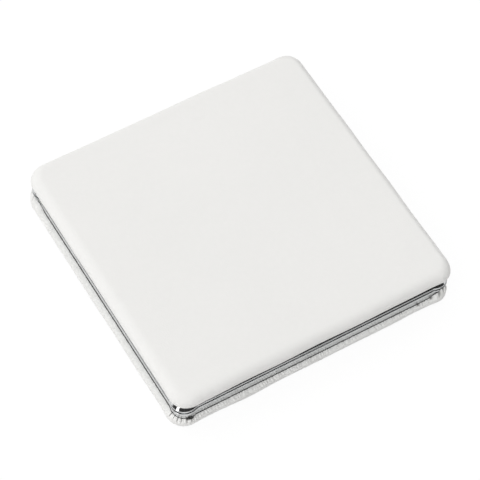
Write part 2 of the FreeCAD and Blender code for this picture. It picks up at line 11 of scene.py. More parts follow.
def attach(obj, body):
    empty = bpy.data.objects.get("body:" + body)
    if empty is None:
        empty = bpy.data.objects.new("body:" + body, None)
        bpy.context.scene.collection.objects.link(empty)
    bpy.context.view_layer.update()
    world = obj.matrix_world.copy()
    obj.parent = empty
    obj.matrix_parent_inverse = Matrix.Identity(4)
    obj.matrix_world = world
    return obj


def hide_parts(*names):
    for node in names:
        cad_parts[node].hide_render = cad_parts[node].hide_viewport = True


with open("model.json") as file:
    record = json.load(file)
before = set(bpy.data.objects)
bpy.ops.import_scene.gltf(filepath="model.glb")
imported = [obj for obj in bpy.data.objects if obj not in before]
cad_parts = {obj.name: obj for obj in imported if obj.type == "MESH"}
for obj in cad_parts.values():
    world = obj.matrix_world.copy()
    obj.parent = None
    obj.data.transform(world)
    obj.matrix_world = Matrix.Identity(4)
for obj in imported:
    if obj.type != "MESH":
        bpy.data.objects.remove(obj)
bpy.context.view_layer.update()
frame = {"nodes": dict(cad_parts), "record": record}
nodes = frame["nodes"]
MM = 0.001
QUARTER = math.pi / 2

# Pad sizes in millimetres, as in the part's source
PAD_HALF = 32.5
PAD_CORNER = 4.2
PAD_EDGE = 1.6
PAD_BACK = 0.5
LEATHER = 0.4
FOAM = 0.8
FOAM_WRAP = 0.4
BOARD = 0.7
PAD_THICK = 2 * LEATHER + FOAM + BOARD
HEM = 6.0
HEM_CORNER = 1.0
CLOSED_THICK = 10.2

# Rise of a pad's face from its edge to its middle
CROWN = 0.10

# Leather's thickness in the mesh, a little under the real one, so that its lining clears the sponge
SKIN = LEATHER - 0.02

# The crease attribute holds painted light and shade: 1 where a slit, gap or contact line is painted dark as
# shade, 0 on plain leather, and minus this where the lip is painted paler to stand in for light
PAINTED_LIGHT = 0.2

# Points along one straight side and round one corner of a pad, and how many of them the flat parts skip
SIDE_STEPS = 400
CORNER_STEPS = 110
SKIP = 5

# Rings round a pad's edge and the lid's back edge, up the base's lip and down behind it, and round the edges of
# the leather's lining and the sponge
EDGE_STEPS = 15
BACK_STEPS = 8
LIP_STEPS = 12
ROLL_STEPS = 7
LINING_STEPS = 6
SPONGE_STEPS = 7

# Insets of the rings on the flat parts
FACE_INSETS = (27.0, 20.0, 13.0, 8.5, 5.6)
EDGE_INSETS = (4.2, 3.5, 3.0)
HEM_INSETS = (2.0, 3.0, 4.5, HEM)
LINING_INSETS = (4.2, 8.5, 20.0, 27.0)
SPONGE_INSETS = (27.0, 12.0, 5.0)

# Shortest and longest waves along the edge: fine gathers, folds and a slow unevenness
FINE_WAVES = (0.44, 0.85)
FOLD_WAVES = (1.2, 4.0)
SLOW_WAVES = (15.0, 90.0)
SLOW_SIZE = 0.03

# Pleats at each corner, how far to each side of its middle they reach, and the spread of each one's place,
# depth and width
PLEATS = 6
PLEAT_REACH = 2.6
PLEAT_SHIFT = (-0.25, 0.25)
PLEAT_DEPTH = (0.45, 1.0)
PLEAT_WIDTH = (0.09, 0.17)

# Distances from a corner's middle up to which leather is gathered fully, and past which it is not
GATHER_FULL = PLEAT_REACH - 0.6
GATHER_END = PLEAT_REACH + 1.5

# Colour sockets of Blender's Mix node
MIX_FIRST = 6
MIX_SECOND = 7
MIX_RESULT = 2


def ring(half, radius):
    """Points and outward normals round a rounded square, from the left end of the front side."""
    straight = np.linspace(0, 1, SIDE_STEPS, endpoint=False)
    bend = np.linspace(-QUARTER, 0, CORNER_STEPS, endpoint=False)
    core = half - radius
    x = np.concatenate([core * (2 * straight - 1), core + radius * np.cos(bend)])
    y = np.concatenate([np.full(SIDE_STEPS, -half), -core + radius * np.sin(bend)])
    nx = np.concatenate([np.zeros(SIDE_STEPS), np.cos(bend)])
    ny = np.concatenate([np.full(SIDE_STEPS, -1.0), np.sin(bend)])
    points = []
    normals = []
    for c, s in ((1, 0), (0, 1), (-1, 0), (0, -1)):
        points.append(np.stack([c * x - s * y, s * x + c * y], 1))
        normals.append(np.stack([c * nx - s * ny, s * nx + c * ny], 1))
    return np.concatenate(points), np.concatenate(normals)


OUTLINE, OUTWARD = ring(PAD_HALF, PAD_CORNER)
COUNT = len(OUTLINE)
LEFTWARD = np.maximum(-OUTWARD[:, 0], 0)
FRONTWARD = np.maximum(-OUTWARD[:, 1], 0)

# How far in the rounding of a pad's edge begins: softest on the left, then the front
LEFT_REACH = 1.1
FRONT_REACH = 0.45
EDGE_REACH = PAD_EDGE + LEFT_REACH * LEFTWARD + FRONT_REACH * FRONTWARD


def along_edge():
    """Length along the outline, the whole length, and signed distance from each corner's middle."""
    steps = np.linalg.norm(np.roll(OUTLINE, -1, 0) - OUTLINE, axis=1)
    length = np.concatenate([[0], np.cumsum(steps)[:-1]])
    total = steps.sum()
    side = SIDE_STEPS + CORNER_STEPS
    middles = [length[corner * side + SIDE_STEPS + CORNER_STEPS // 2] for corner in range(4)]
    away = np.stack([(length - middle + total / 2) % total - total / 2 for middle in middles])
    return length, total, away


# Corners are numbered anticlockwise from the front right
EDGE_LENGTH, EDGE_TOTAL, CORNER_AWAY = along_edge()
FRONT_RIGHT, BACK_RIGHT, BACK_LEFT, FRONT_LEFT = range(4)


def ripple(rng, shortest, longest):
    """Smooth closed random waves along the outline, with wavelengths between the two given ones."""
    waves = np.arange(int(EDGE_TOTAL / longest), int(EDGE_TOTAL / shortest) + 1)
    phase = rng.uniform(0, 2 * math.pi, len(waves))
    size = rng.normal(0, 1, len(waves))
    angle = 2 * math.pi * EDGE_LENGTH[:, None] * waves[None] / EDGE_TOTAL + phase
    value = (np.cos(angle) * size).sum(1)
    return value / value.std()


def smooth(edge0, edge1, value):
    """0 at the first edge, 1 at the second and a soft step between."""
    t = np.clip((value - edge0) / (edge1 - edge0), 0, 1)
    return t * t * (3 - 2 * t)


def pleats(rng):
    """Depth of the slits between pleats along the outline, and how far the leather is gathered, from 0 to 1."""
    slit = np.zeros(COUNT)
    gather = np.zeros(COUNT)
    for corner in range(4):
        here = CORNER_AWAY[corner]
        marks = np.linspace(-PLEAT_REACH, PLEAT_REACH, PLEATS) + rng.uniform(*PLEAT_SHIFT, PLEATS)
        depth = rng.uniform(*PLEAT_DEPTH, PLEATS)
        width = rng.uniform(*PLEAT_WIDTH, PLEATS)
        for mark, deep, wide in zip(marks, depth, width):
            slit = np.maximum(slit, deep * np.exp(-((here - mark) / wide) ** 2))
        gather = np.maximum(gather, smooth(GATHER_END, GATHER_FULL, np.abs(here)))
    return slit, gather


def swells(places):
    """Sum of bell curves along the outline, each given as corner, offset along the edge, width and size."""
    out = np.zeros(COUNT)
    for corner, offset, width, size in places:
        out += size * np.exp(-((CORNER_AWAY[corner] - offset) / width) ** 2)
    return out


def wall_distance(node, height):
    """Distance from the pad's outline in to the outside of a CAD node, at a height."""
    stand_off = 1.0
    mesh = nodes[node].data
    tree = BVHTree.FromPolygons([v.co for v in mesh.vertices], [p.vertices for p in mesh.polygons])
    found = np.zeros(COUNT)
    for i in range(COUNT):
        out = Vector((*OUTWARD[i], 0.0))
        start = Vector((*(OUTLINE[i] * MM), height * MM)) + out * (stand_off * MM)
        found[i] = tree.ray_cast(start, -out)[3] / MM - stand_off
    return found


def corner_radius(inset):
    """Corner radius of the ring at an inset: concentric at the edge, small at the hem's end and in the face."""
    return max(PAD_CORNER - inset, HEM_CORNER)


def to_world(plan, depth, face_up, yaw):
    """Places pad points, given by plan and depth below the face, in the closed mirror."""
    c, s = math.cos(yaw), math.sin(yaw)
    x = c * plan[:, 0] - s * plan[:, 1]
    y = s * plan[:, 0] + c * plan[:, 1]
    z = CLOSED_THICK - depth if face_up else depth
    return np.stack([x, y, z + np.zeros(len(x))], 1)


def stitch(a, b):
    """Faces between two rings of vertex numbers, where one may have a fraction of the other's points."""
    if len(a) < len(b):
        return [face[::-1] for face in stitch(b, a)]
    step = len(a) // len(b)
    faces = []
    for j in range(len(b)):
        run = [a[(j * step + m) % len(a)] for m in range(step + 1)]
        following = b[(j + 1) % len(b)]
        if step == 1:
            faces.append((run[0], run[1], following, b[j]))
            continue
        half = step // 2
        faces += [(run[m], run[m + 1], b[j]) for m in range(half)]
        faces.append((run[half], following, b[j]))
        faces += [(run[m], run[m + 1], following) for m in range(half, step)]
    return faces


def build_mesh(name, rings, caps, painted_shading):
    """Closed mesh from rings of points, with the first and last ring capped at the given middle points."""
    points = np.concatenate(rings + [np.array(caps)])
    numbers = []
    start = 0
    for points_here in rings:
        numbers.append(list(range(start, start + len(points_here))))
        start += len(points_here)
    faces = []
    for a, b in zip(numbers, numbers[1:]):
        faces += stitch(a, b)
    for cap, rim in ((start, numbers[0]), (start + 1, numbers[-1])):
        faces += [(cap, rim[i], rim[(i + 1) % len(rim)]) for i in range(len(rim))]
    mesh = bpy.data.meshes.new(name)
    mesh.from_pydata((points * MM).tolist(), [], faces)
    shade = mesh.attributes.new("painted_shading", "FLOAT", "POINT")
    shade.data.foreach_set("value", np.concatenate(painted_shading + [np.zeros(2)]).astype(np.float32))
    work = bmesh.new()
    work.from_mesh(mesh)
    bmesh.ops.recalc_face_normals(work, faces=work.faces)
    work.to_mesh(mesh)
    work.free()
    mesh.shade_smooth()
    obj = bpy.data.objects.new(name, mesh)
    bpy.context.scene.collection.objects.link(obj)
    return obj


class PadRings:
    """Collects the rings of a pad's leather, in plan and depth, from the face round to the lining."""

    def __init__(self, face_up, yaw=0.0):
        self.face_up = face_up
        self.yaw = yaw
        self.rings = []
        self.painted_shading = []

    def add(self, inset, depth, coarse=False, dark=None):
        """A ring at an inset, which may vary along the outline, and a depth below the face."""
        if np.isscalar(inset):
            plan, _ = ring(PAD_HALF - inset, corner_radius(inset))
        else:
            plan = OUTLINE - OUTWARD * inset[:, None]
        points = to_world(plan, depth, self.face_up, self.yaw)
        # dark is painted shade where above 0 and painted light where below 0
        shade = np.zeros(COUNT) if dark is None else dark
        skip = SKIP if coarse else 1
        self.rings.append(points[::skip])
        self.painted_shading.append(shade[::skip])

    def mesh(self, name):
        ends = to_world(np.zeros((2, 2)), np.array([0.0, SKIN]), self.face_up, 0.0)
        return build_mesh(name, self.rings, ends, self.painted_shading)


class Leather:
    """Waves, pleats and swells of one pad's leather along its outline."""

    def __init__(self, seed, full, holes=(), folds=()):
        """Full is how far the edge stands out; holes are dips at a lip's crest, painted dark as shade, and
        folds deep slits, also painted dark as shade.
        """
        rng = np.random.default_rng(seed)
        self.fine = [ripple(rng, *FINE_WAVES) for _ in range(2)]
        self.fold = [ripple(rng, *FOLD_WAVES) for _ in range(2)]
        slow = ripple(rng, *SLOW_WAVES)
        slit, self.gather = pleats(rng)
        self.slit = np.maximum(slit, swells(folds))
        self.hole = swells(holes)
        self.full = full
        self.bulge = SLOW_SIZE * slow + full

    def turned(self, phase):
        """The fine waves at a phase, which carries them slantwise over a bend."""
        return self.fine[0] * math.cos(phase) + self.fine[1] * math.sin(phase)


def crowned_face(pad, leather):
    """Rings of the face, from near its middle out, and round the pad's soft edge."""
    fold_size = 0.010

    def crown_depth(inset):
        return CROWN * (1 - (inset / PAD_HALF) ** 0.5)

    for inset in FACE_INSETS:
        pad.add(inset, crown_depth(inset), coarse=True)
    sag = crown_depth(EDGE_INSETS[0])
    for inset in EDGE_INSETS:
        pad.add(inset, sag, coarse=True)
    for angle in np.linspace(0, QUARTER, EDGE_STEPS):
        bulge = leather.bulge * math.sin(angle) + fold_size * leather.fold[0] * math.sin(2 * angle)
        inset = EDGE_REACH * (1 - math.sin(angle)) - bulge
        pad.add(inset, sag + (PAD_EDGE - sag) * (1 - math.cos(angle)))


def turned_back(pad, leather, tuck):
    """Rings round the back edge of a pad whose tray stands well in. Returns where its hem begins."""
    wave_size = 0.012
    wave_turn = 3.0
    slit_depth = 0.15
    corner_tuck = 0.22
    most_lift = 0.02
    hem_gap = 0.15
    low = PAD_THICK - PAD_BACK
    for angle in np.linspace(0, QUARTER, BACK_STEPS)[1:]:
        sine, cosine = math.sin(angle), math.cos(angle)
        under = smooth(0.9, 1.5, angle)
        waves = leather.turned(wave_turn * angle) + leather.fold[0]
        lift = wave_size * under * waves - slit_depth * under * leather.slit
        inward = (corner_tuck * leather.gather + tuck) * sine
        inset = PAD_BACK * (1 - cosine) + inward - cosine * (lift + leather.bulge)
        depth = low + PAD_BACK * sine + sine * np.minimum(lift, most_lift)
        # Slits on the turned-back edge are painted dark as shade
        pad.add(inset, depth, dark=under * leather.slit)
    return np.full(COUNT, PAD_BACK + hem_gap)


def gathered_lip(pad, leather, wall, collar):
    """Rings of a lip gathered against a tray's wall, up to its crest and down behind it, with a collar where it
    stands higher. Returns where its hem begins."""
    wall_gap = 0.02
    gather_press = 0.06
    collar_press = 0.22
    least_width = 0.22
    crest = 0.84
    crest_rise = 0.09
    gather_rise = 0.50
    fold_rise = 0.02
    foot_step = 0.25
    wave_size = 0.060
    wave_turn = 1.2
    gather_calm = 0.4
    left_calm = 0.5
    fold_share = 0.5
    gather_swell = 0.06
    crinkle = 0.24
    slit_depth = 0.42
    hole_depth = 0.3
    roll_phase = 1.9
    roll_drop = 0.06
    roll_fold = 0.03
    seat_gap = 0.005
    seat_inset = 0.02
    hem_gap = 0.06

    fold, slit, hole, gather = leather.fold, leather.slit, leather.hole, leather.gather
    pressed = smooth(0.3, 1.6, collar)
    crinkled = smooth(0.4, 1.5, collar)
    covered = smooth(0.3, 1.2, -collar * OUTWARD[:, 0])
    ribbed = 1 - left_calm * LEFTWARD
    inner = wall + wall_gap - gather_press * gather - collar_press * pressed
    inner = np.maximum(inner, least_width - leather.full)
    top = PAD_THICK + crest_rise + gather_rise * gather + fold_rise * fold[1] + collar
    foot = PAD_EDGE + foot_step

    for angle in np.linspace(0, QUARTER, LIP_STEPS)[1:]:
        sine, cosine = math.sin(angle), math.cos(angle)
        share = smooth(0.05, 0.9, angle)
        waves = leather.turned(wave_turn * angle) * (1 - gather_calm * gather) + fold_share * fold[0]
        lift = wave_size * share * ribbed * waves - slit_depth * share * slit
        lift += gather_swell * share * gather + crinkle * share * crinkled * ribbed * fold[1]
        lift -= hole_depth * smooth(0.9, 1.5, angle) * hole
        inset = crest * inner * (1 - cosine) - cosine * lift - leather.bulge * cosine ** 2
        depth = foot + (top - foot) * sine + sine * lift
        # Slits and holes are painted dark as shade, and the lip is painted paler by PAINTED_LIGHT as painted
        # light
        painted_shade = np.maximum(share * slit, smooth(0.8, 1.5, angle) * hole)
        pad.add(inset, depth, dark=painted_shade - PAINTED_LIGHT * share)

    for angle in np.linspace(0, QUARTER, ROLL_STEPS)[1:]:
        sine, cosine = math.sin(angle), math.cos(angle)
        waves = wave_size * ribbed * leather.turned(roll_phase + angle) + roll_fold * fold[0]
        lift = (waves - slit_depth * slit - hole_depth * hole) * cosine
        inset = inner * (crest + (1 - crest) * sine)
        depth = top - roll_drop * (1 - cosine) + lift
        # Slits, holes and the roll's inner side by the tray wall are painted dark as shade; the roll is painted
        # paler as light
        painted_shade = np.maximum(np.maximum(slit, hole), smooth(0.2, 0.6, angle) * (1 - covered))
        pad.add(inset, depth, dark=painted_shade - PAINTED_LIGHT)

    # The seat ring against the tray wall is painted dark as shade, a contact line, except where the collar
    # covers it
    pad.add(inner + seat_inset, np.full(COUNT, PAD_THICK + seat_gap), dark=1 - covered)
    return inner + hem_gap


def hem_and_lining(pad, hem_start):
    """Rings of the hem on the pad's back, and back inside the leather to the middle of its lining."""
    seat_clear = 0.01
    fine_end = 1.25
    fine_step = 0.05
    back_round = 0.15
    side_low = 0.2
    hem_middle = 3.0
    hem = PAD_THICK - seat_clear
    edge = PAD_EDGE - SKIN
    # The hem's first ring is painted dark as shade
    pad.add(hem_start, np.full(COUNT, hem), dark=np.ones(COUNT))
    pad.add(np.maximum(hem_start + fine_step, fine_end), np.full(COUNT, hem), coarse=True)
    for inset in HEM_INSETS:
        pad.add(inset, hem, coarse=True)
    for inset in (HEM, hem_middle, SKIN + back_round):
        pad.add(inset, PAD_THICK - SKIN, coarse=True)
    pad.add(SKIN, PAD_THICK - SKIN - side_low, coarse=True)
    for angle in np.linspace(QUARTER, 0, LINING_STEPS):
        pad.add(SKIN + edge * (1 - math.sin(angle)), SKIN + edge * (1 - math.cos(angle)), coarse=True)
    for inset in LINING_INSETS:
        pad.add(inset, SKIN, coarse=True)


def base_pad_leather():
    """The base's leather leans to the left and is fuller at three corners. Dips between it and the tray beside
    the front corners are painted dark as shade, and two corners are gathered up higher."""
    lean = 0.33
    right_share = 0.7
    wall_level = 0.4
    full = lean * np.maximum(-OUTWARD[:, 0], -right_share * OUTWARD[:, 0])
    full += swells([
        (FRONT_LEFT, 0.0, 3.0, 0.38),
        (FRONT_LEFT, 15.5, 5.0, 0.34),
        (FRONT_RIGHT, -1.0, 2.2, 0.34),
        (FRONT_RIGHT, -8.0, 4.0, -0.16),
        (FRONT_RIGHT, 4.0, 3.0, -0.30),
        (BACK_LEFT, 0.0, 3.0, 0.12),
    ])
    collar = swells([
        (FRONT_RIGHT, -1.9, 1.8, 2.3),
        (BACK_LEFT, 0.0, 2.0, 0.9),
        (BACK_LEFT, 2.8, 2.0, 1.9),
    ])
    # Holes: dips at the lip's crest, painted dark as shade
    holes = [
        (FRONT_LEFT, 2.2, 0.80, 1.8),
        (FRONT_RIGHT, -1.8, 0.30, 1.2),
        (FRONT_RIGHT, -0.7, 0.16, 0.7),
        (FRONT_RIGHT, -4.3, 0.34, 0.8),
        (FRONT_RIGHT, -7.3, 0.28, 0.7),
    ]
    folds = [(FRONT_RIGHT, -2.75, 0.30, 0.85)]
    leather = Leather(seed=11, full=full, holes=holes, folds=folds)
    pad = PadRings(face_up=False)
    crowned_face(pad, leather)
    hem_start = gathered_lip(pad, leather, wall_distance("base_tray", PAD_THICK + wall_level), collar)
    hem_and_lining(pad, hem_start)
    return pad.mesh("base_pad_leather")


def lid_pad_leather():
    """The lid's leather sits a little turned, is fuller at three corners and tucked in beside the fourth."""
    yaw = math.radians(0.21)
    front_full = 0.10
    full = front_full * FRONTWARD + swells([
        (BACK_RIGHT, 7.0, 6.0, -0.28),
        (BACK_RIGHT, 15.0, 4.0, -0.16),
        (BACK_LEFT, -20.0, 18.0, -0.14),
        (FRONT_RIGHT, 10.0, 12.0, -0.13),
        (FRONT_RIGHT, -1.0, 2.5, 0.42),
        (BACK_RIGHT, 0.0, 2.5, 0.26),
        (FRONT_LEFT, 0.0, 2.8, 0.36),
    ])
    tuck = swells([(BACK_LEFT, 2.7, 1.8, 0.40)])
    leather = Leather(seed=23, full=full)
    pad = PadRings(face_up=True, yaw=yaw)
    crowned_face(pad, leather)
    hem_start = turned_back(pad, leather, tuck)
    hem_and_lining(pad, hem_start)
    return pad.mesh("lid_pad_leather")


def sponge_sheet(name, face_up):
    """Sponge under the leather, drawn down over the board's edge and a hair clear of both."""
    clear = 0.01
    top = LEATHER + clear
    low = LEATHER + FOAM
    foot = PAD_THICK - LEATHER - 2 * clear
    wrap = LEATHER + FOAM_WRAP - clear
    radius = PAD_EDGE - LEATHER
    rows = [(inset, top) for inset in SPONGE_INSETS]
    for angle in np.linspace(0, QUARTER, SPONGE_STEPS):
        rows.append((top + radius * (1 - math.sin(angle)), top + radius * (1 - math.cos(angle))))
    rows += [(top + clear, foot), (wrap, foot), (wrap, low)]
    rows += [(inset, low - clear) for inset in reversed(SPONGE_INSETS)]
    rings = []
    for inset, depth in rows:
        plan, _ = ring(PAD_HALF - inset, corner_radius(inset))
        rings.append(to_world(plan, depth, face_up, 0.0)[::SKIP])
    ends = to_world(np.zeros((2, 2)), np.array([top, low]), face_up, 0.0)
    return build_mesh(name, rings, ends, [np.zeros(len(points)) for points in rings])


class Shader:
    """A principled material whose colour, roughness and bump come from procedural nodes."""

    def __init__(self, name):
        self.material = bpy.data.materials.new(name)
        self.material.use_nodes = True
        self.tree = self.material.node_tree
        self.bsdf = self.tree.nodes["Principled BSDF"]
        self.place = self.add("ShaderNodeTexCoord").outputs["Object"]

    def add(self, kind, **settings):
        node = self.tree.nodes.new(kind)
        for name, value in settings.items():
            setattr(node, name, value)
        return node

    def link(self, source, target):
        self.tree.links.new(source, target)

    def stretched(self, scale):
        """Object coordinates scaled along each axis."""
        node = self.add("ShaderNodeMapping")
        node.inputs["Scale"].default_value = scale
        self.link(self.place, node.inputs["Vector"])
        return node.outputs["Vector"]

    def noise(self, scale, detail, roughness=0.5, place=None):
        node = self.add("ShaderNodeTexNoise")
        node.inputs["Scale"].default_value = scale
        node.inputs["Detail"].default_value = detail
        node.inputs["Roughness"].default_value = roughness
        self.link(place or self.place, node.inputs["Vector"])
        return node.outputs["Fac"]

    def cells(self, scale, feature):
        node = self.add("ShaderNodeTexVoronoi", feature=feature)
        node.inputs["Scale"].default_value = scale
        self.link(self.place, node.inputs["Vector"])
        return node.outputs["Distance"]

    def remap(self, value, span, to_span):
        """Carries one span of values to another, and holds it at the ends."""
        node = self.add("ShaderNodeMapRange")
        for socket, number in zip(("From Min", "From Max", "To Min", "To Max"), (*span, *to_span)):
            node.inputs[socket].default_value = number
        self.link(value, node.inputs["Value"])
        return node.outputs["Result"]

    def blend(self, factor, first, second):
        """Colour mix of two fixed colours or sockets."""
        node = self.add("ShaderNodeMix", data_type="RGBA")
        self.link(factor, node.inputs["Factor"])
        for socket, colour in ((node.inputs[MIX_FIRST], first), (node.inputs[MIX_SECOND], second)):
            if isinstance(colour, tuple):
                socket.default_value = (*colour, 1.0)
            else:
                self.link(colour, socket)
        return node.outputs[MIX_RESULT]

    def combine(self, operation, first, second):
        node = self.add("ShaderNodeMath", operation=operation)
        for socket, value in zip(node.inputs, (first, second)):
            if isinstance(value, (int, float)):
                socket.default_value = value
            else:
                self.link(value, socket)
        return node.outputs[0]

    def bump(self, height, depth, strength):
        node = self.add("ShaderNodeBump")
        node.inputs["Distance"].default_value = depth
        node.inputs["Strength"].default_value = strength
        self.link(height, node.inputs["Height"])
        self.link(node.outputs["Normal"], self.bsdf.inputs["Normal"])

    def finish(self, colour, roughness, **fixed):
        """Links colour and roughness, and sets the sockets that are the same all over."""
        self.link(colour, self.bsdf.inputs["Base Color"])
        self.link(roughness, self.bsdf.inputs["Roughness"])
        for socket, value in fixed.items():
            self.bsdf.inputs[socket.replace("_", " ")].default_value = value
        return self.material


def leather_material():
    """Fine-grained white leather, with painted light and shade: the base's lip painted paler to stand in for
    light, and its slits, gaps and contact lines painted dark as shade.
    """
    warm, bright = (0.842, 0.837, 0.826), (0.866, 0.859, 0.848)
    # Painted light and shade: drawn is the paler colour painted on the lip as light, slit the near-black
    # painted into slits and gaps as shade
    drawn, slit = (0.945, 0.944, 0.932), (0.05, 0.05, 0.047)
    s = Shader("white_leather")
    grain = s.cells(scale=2100.0, feature="DISTANCE_TO_EDGE")
    pores = s.noise(scale=5200.0, detail=2.0)
    cloud = s.noise(scale=55.0, detail=3.0)
    fine = s.noise(scale=900.0, detail=3.0)
    tone = s.combine("ADD", s.remap(cloud, (0.3, 0.7), (0.0, 0.6)), s.remap(fine, (0.3, 0.7), (0.0, 0.4)))
    painted_shading = s.add("ShaderNodeAttribute", attribute_name="painted_shading").outputs["Fac"]
    face = s.blend(tone, warm, bright)
    # Below 0 the crease attribute paints the lip paler as light, above 0 it paints shade towards the slit
    # colour
    lip = s.blend(s.remap(painted_shading, (-PAINTED_LIGHT, 0.0), (1.0, 0.0)), face, drawn)
    colour = s.blend(s.remap(painted_shading, (0.05, 0.75), (0.0, 0.92)), lip, slit)
    height = s.combine("ADD", s.remap(grain, (0.0, 0.25), (0.0, 1.0)), s.combine("MULTIPLY", pores, 0.5))
    s.bump(height, depth=2.2e-5, strength=0.35)
    return s.finish(colour, s.remap(fine, (0.3, 0.7), (0.42, 0.56)), Specular_IOR_Level=0.4)


def foam_material():
    deep, light = (0.72, 0.70, 0.62), (0.88, 0.87, 0.82)
    s = Shader("sponge")
    holes = s.cells(scale=1500.0, feature="F1")
    s.bump(holes, depth=1e-4, strength=0.6)
    return s.finish(s.blend(s.remap(holes, (0.1, 0.7), (0.0, 1.0)), deep, light),
                    s.remap(holes, (0.0, 1.0), (0.8, 0.95)))


def greyboard_material():
    dark, light = (0.40, 0.385, 0.35), (0.56, 0.54, 0.50)
    s = Shader("greyboard")
    fibres = s.noise(scale=700.0, detail=6.0, roughness=0.7, place=s.stretched((1.0, 0.35, 1.0)))
    specks = s.noise(scale=2500.0, detail=2.0)
    mixed = s.combine("ADD", s.combine("MULTIPLY", fibres, 0.7), s.combine("MULTIPLY", specks, 0.3))
    s.bump(fibres, depth=3e-5, strength=0.5)
    return s.finish(s.blend(s.remap(mixed, (0.35, 0.65), (0.0, 1.0)), dark, light),
                    s.remap(specks, (0.3, 0.7), (0.85, 0.95)))


def tape_material():
    dull, light = (0.80, 0.80, 0.76), (0.87, 0.87, 0.84)
    s = Shader("adhesive_tape")
    bubbles = s.cells(scale=900.0, feature="F1")
    s.bump(bubbles, depth=2e-5, strength=0.3)
    return s.finish(s.blend(s.remap(bubbles, (0.1, 0.6), (0.0, 1.0)), dull, light),
                    s.remap(bubbles, (0.1, 0.6), (0.5, 0.65)))


def chrome_material():
    """Chrome plate, a little cloudy, with faint drawing lines."""
    dull, bright = (0.640, 0.650, 0.655), (0.690, 0.698, 0.705)
    s = Shader("chrome")
    cloud = s.noise(scale=180.0, detail=3.0)
    lines = s.noise(scale=60.0, detail=5.0, roughness=0.6, place=s.stretched((6.0, 6.0, 60.0)))
    s.bump(lines, depth=2e-6, strength=0.10)
    return s.finish(s.blend(s.remap(cloud, (0.35, 0.65), (0.0, 1.0)), dull, bright),
                    s.remap(cloud, (0.3, 0.7), (0.045, 0.10)), Metallic=1.0)


def mirror_material():
    """Silvered glass with a trace of haze and dust."""
    hazy, clear = (0.885, 0.905, 0.910), (0.915, 0.930, 0.935)
    s = Shader("mirror")
    haze = s.noise(scale=70.0, detail=4.0, roughness=0.6)
    dust = s.noise(scale=2600.0, detail=2.0)
    film = s.combine("ADD", haze, s.combine("MULTIPLY", dust, 0.15))
    return s.finish(s.blend(s.remap(haze, (0.35, 0.7), (0.0, 1.0)), hazy, clear),
                    s.remap(film, (0.4, 0.85), (0.008, 0.03)), Metallic=1.0)


def steel_material():
    dull, bright = (0.49, 0.49, 0.48), (0.61, 0.61, 0.60)
    s = Shader("steel")
    brushed = s.noise(scale=500.0, detail=5.0, roughness=0.65, place=s.stretched((0.15, 4.0, 4.0)))
    s.bump(brushed, depth=6e-6, strength=0.25)
    return s.finish(s.blend(s.remap(brushed, (0.3, 0.7), (0.0, 1.0)), dull, bright),
                    s.remap(brushed, (0.3, 0.7), (0.22, 0.36)), Metallic=1.0)


materials = {
    "white_leather": leather_material(),
    "foam": foam_material(),
    "greyboard": greyboard_material(),
    "adhesive_tape": tape_material(),
    "chrome": chrome_material(),
    "mirror": mirror_material(),
    "steel": steel_material(),
}

# Every CAD piece takes the material of its slot in the record
for part in frame["record"]["subparts"]:
    for place in nodes[part["node"]].material_slots:
        place.material = materials[part["material_slot"]]

# The soft pieces of the two pads stand for the plain CAD ones
pads = [
    ("base", "base_leather", "white_leather", base_pad_leather()),
    ("lid", "lid_leather", "white_leather", lid_pad_leather()),
    ("base", "base_foam", "foam", sponge_sheet("base_pad_sponge", False)),
    ("lid", "lid_foam", "foam", sponge_sheet("lid_pad_sponge", True)),
]
for body, node, slot, piece in pads:
    piece.data.materials.append(materials[slot])
    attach(piece, body)
    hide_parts(node)


def floor_material():
    """White to the camera and in reflections, keeping a faint shadow; plain pale to the light it bounces."""
    dull, pale = (0.91, 0.91, 0.907), (0.93, 0.93, 0.928)
    shown_glow = 0.90
    shadow_grey = 0.12
    s = Shader("floor")
    grain = s.noise(scale=30.0, detail=3.0)
    s.finish(s.blend(grain, dull, pale), s.remap(grain, (0.3, 0.7), (0.8, 0.9)), Specular_IOR_Level=0.1)
    light_path = s.add("ShaderNodeLightPath")
    seen = s.combine("MAXIMUM", light_path.outputs["Is Camera Ray"], light_path.outputs["Is Glossy Ray"])
    seen = s.combine("MAXIMUM", seen, light_path.outputs["Is Transmission Ray"])
    glow = s.add("ShaderNodeEmission")
    glow.inputs["Color"].default_value = (1.0, 1.0, 1.0, 1.0)
    glow.inputs["Strength"].default_value = shown_glow
    shadow = s.add("ShaderNodeBsdfDiffuse")
    shadow.inputs["Color"].default_value = (shadow_grey, shadow_grey, shadow_grey, 1.0)
    shown = s.add("ShaderNodeAddShader")
    s.link(glow.outputs[0], shown.inputs[0])
    s.link(shadow.outputs[0], shown.inputs[1])
    mix = s.add("ShaderNodeMixShader")
    s.link(seen, mix.inputs["Fac"])
    s.link(s.bsdf.outputs[0], mix.inputs[1])
    s.link(shown.outputs[0], mix.inputs[2])
    s.link(mix.outputs[0], s.tree.nodes["Material Output"].inputs["Surface"])
    return s.material


# Floor, in metres, a hair below the base's leather
FLOOR_HALF = 3.0
FLOOR_DROP = 0.05 * MM
floor_corners = [(x * FLOOR_HALF, y * FLOOR_HALF, 0) for x, y in ((-1, -1), (1, -1), (1, 1), (-1, 1))]
floor_mesh = bpy.data.meshes.new("floor")
floor_mesh.from_pydata(floor_corners, [], [(0, 1, 2, 3)])
floor = bpy.data.objects.new("floor", floor_mesh)
floor.location.z = -FLOOR_DROP
floor_mesh.materials.append(floor_material())
bpy.context.scene.collection.objects.link(floor)


def toward(azimuth, elevation):
    """Direction from the object to a point at an azimuth (0 is the front, 90 the right) and elevation."""
    a, e = math.radians(azimuth), math.radians(elevation)
    return Vector((math.sin(a) * math.cos(e), -math.cos(a) * math.cos(e), math.sin(e)))


